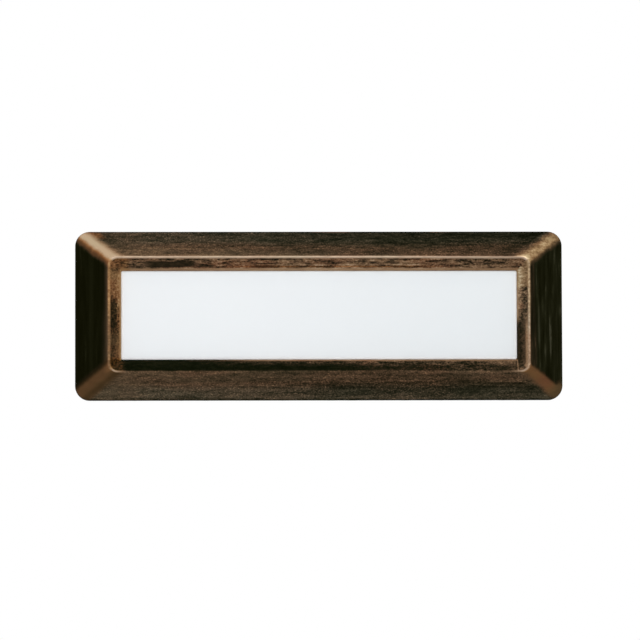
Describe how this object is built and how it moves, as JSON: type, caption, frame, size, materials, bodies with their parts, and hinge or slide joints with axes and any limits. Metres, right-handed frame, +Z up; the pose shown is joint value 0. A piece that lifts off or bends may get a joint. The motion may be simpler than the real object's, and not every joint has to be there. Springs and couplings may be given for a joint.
{
  "type": "recessed wall light",
  "caption": "Brick-size recessed outdoor wall light: bevelled brushed copper face frame, frosted glass window, sprung clips, box with lamp board, driver, terminal and gland.",
  "frame": {"origin": "centre of the four wall screw holes, on the wall's surface and on the window's axis", "axes": "+X to the viewer's right along the light, +Y into the wall, +Z up; the light shines towards -Y"},
  "size_m": [0.235, 0.1055, 0.0816],
  "materials": {
    "face_finish": "satin",
    "frosted_glass": "matte",
    "dark_rubber": "matte",
    "pale_rubber": "matte",
    "sheet_steel": "satin",
    "spring_steel": "satin",
    "screw_steel": "satin",
    "cast_aluminium": "matte",
    "gland_nylon": "matte",
    "plug_plastic": "matte",
    "white_enamel": "satin",
    "board_white": "satin",
    "lamp_yellow": "satin",
    "ivory_plastic": "matte",
    "driver_case": "matte",
    "terminal_plastic": "gloss",
    "lever_plastic": "gloss",
    "contact_metal": "satin",
    "earth_brass": "satin",
    "lead_brown": "satin",
    "lead_blue": "satin",
    "lead_green_yellow": "satin",
    "lead_red": "satin",
    "lead_black": "satin"
  },
  "bodies": {
    "housing": {"back_box": "cast_aluminium", "box_seal": "dark_rubber", "end_plug_left": "plug_plastic", "end_plug_right": "plug_plastic", "gland_body": "gland_nylon", "gland_washer": "dark_rubber", "gland_locknut": "gland_nylon", "gland_seal": "dark_rubber", "gland_dome_nut": "gland_nylon", "lamp_tray": "white_enamel", "tray_screws": "screw_steel", "lamp_board": "board_white", "board_screws": "screw_steel", "lamps": "lamp_yellow", "lamp_connector": "ivory_plastic", "grommet": "dark_rubber", "driver": "driver_case", "driver_screws": "screw_steel", "terminal_body": "terminal_plastic", "terminal_screw": "screw_steel", "terminal_contacts": "contact_metal", "earth_screw": "earth_brass", "earth_lug": "contact_metal", "earth_lead": "lead_green_yellow", "live_lead": "lead_brown", "neutral_lead": "lead_blue", "lamp_lead_positive": "lead_red", "lamp_lead_negative": "lead_black"},
    "face": {"face_frame": "face_finish", "lens": "frosted_glass", "lens_seal": "pale_rubber", "retainer": "sheet_steel", "retainer_screws": "screw_steel", "rim_seal": "dark_rubber", "clip_pin_left": "screw_steel", "clip_pin_right": "screw_steel", "clip_spring_left": "spring_steel", "clip_spring_right": "spring_steel"},
    "clip_left": {"clip_arm_left": "spring_steel"},
    "clip_right": {"clip_arm_right": "spring_steel"},
    "lever_live": {"lever_live": "lever_plastic"},
    "lever_neutral": {"lever_neutral": "lever_plastic"},
    "lever_earth": {"lever_earth": "lever_plastic"}
  },
  "joints": [
    {"name": "face_pull", "type": "slide", "parent": "housing", "child": "face", "axis": [0, -1, 0], "range_m": [0, 0.06]},
    {"name": "clip_left_flex", "type": "hinge", "parent": "face", "child": "clip_left", "pos_m": [-0.0974, 0.024, 0], "axis": [0, 0, 1], "range_deg": [0, 7], "stiffness_Nm_per_rad": 0.05, "springref_deg": -34.38, "deforming": ["clip_spring_left"]},
    {"name": "clip_right_flex", "type": "hinge", "parent": "face", "child": "clip_right", "pos_m": [0.0974, 0.024, 0], "axis": [0, 0, -1], "range_deg": [0, 7], "stiffness_Nm_per_rad": 0.05, "springref_deg": -34.38, "deforming": ["clip_spring_right"]},
    {"name": "lever_live_lift", "type": "hinge", "parent": "housing", "child": "lever_live", "pos_m": [-0.0362, 0.0541, -0.0055], "axis": [1, 0, 0], "range_deg": [0, 90]},
    {"name": "lever_neutral_lift", "type": "hinge", "parent": "housing", "child": "lever_neutral", "pos_m": [-0.0432, 0.0541, -0.0055], "axis": [1, 0, 0], "range_deg": [0, 90]},
    {"name": "lever_earth_lift", "type": "hinge", "parent": "housing", "child": "lever_earth", "pos_m": [-0.0502, 0.0541, -0.0055], "axis": [1, 0, 0], "range_deg": [0, 90]}
  ]
}
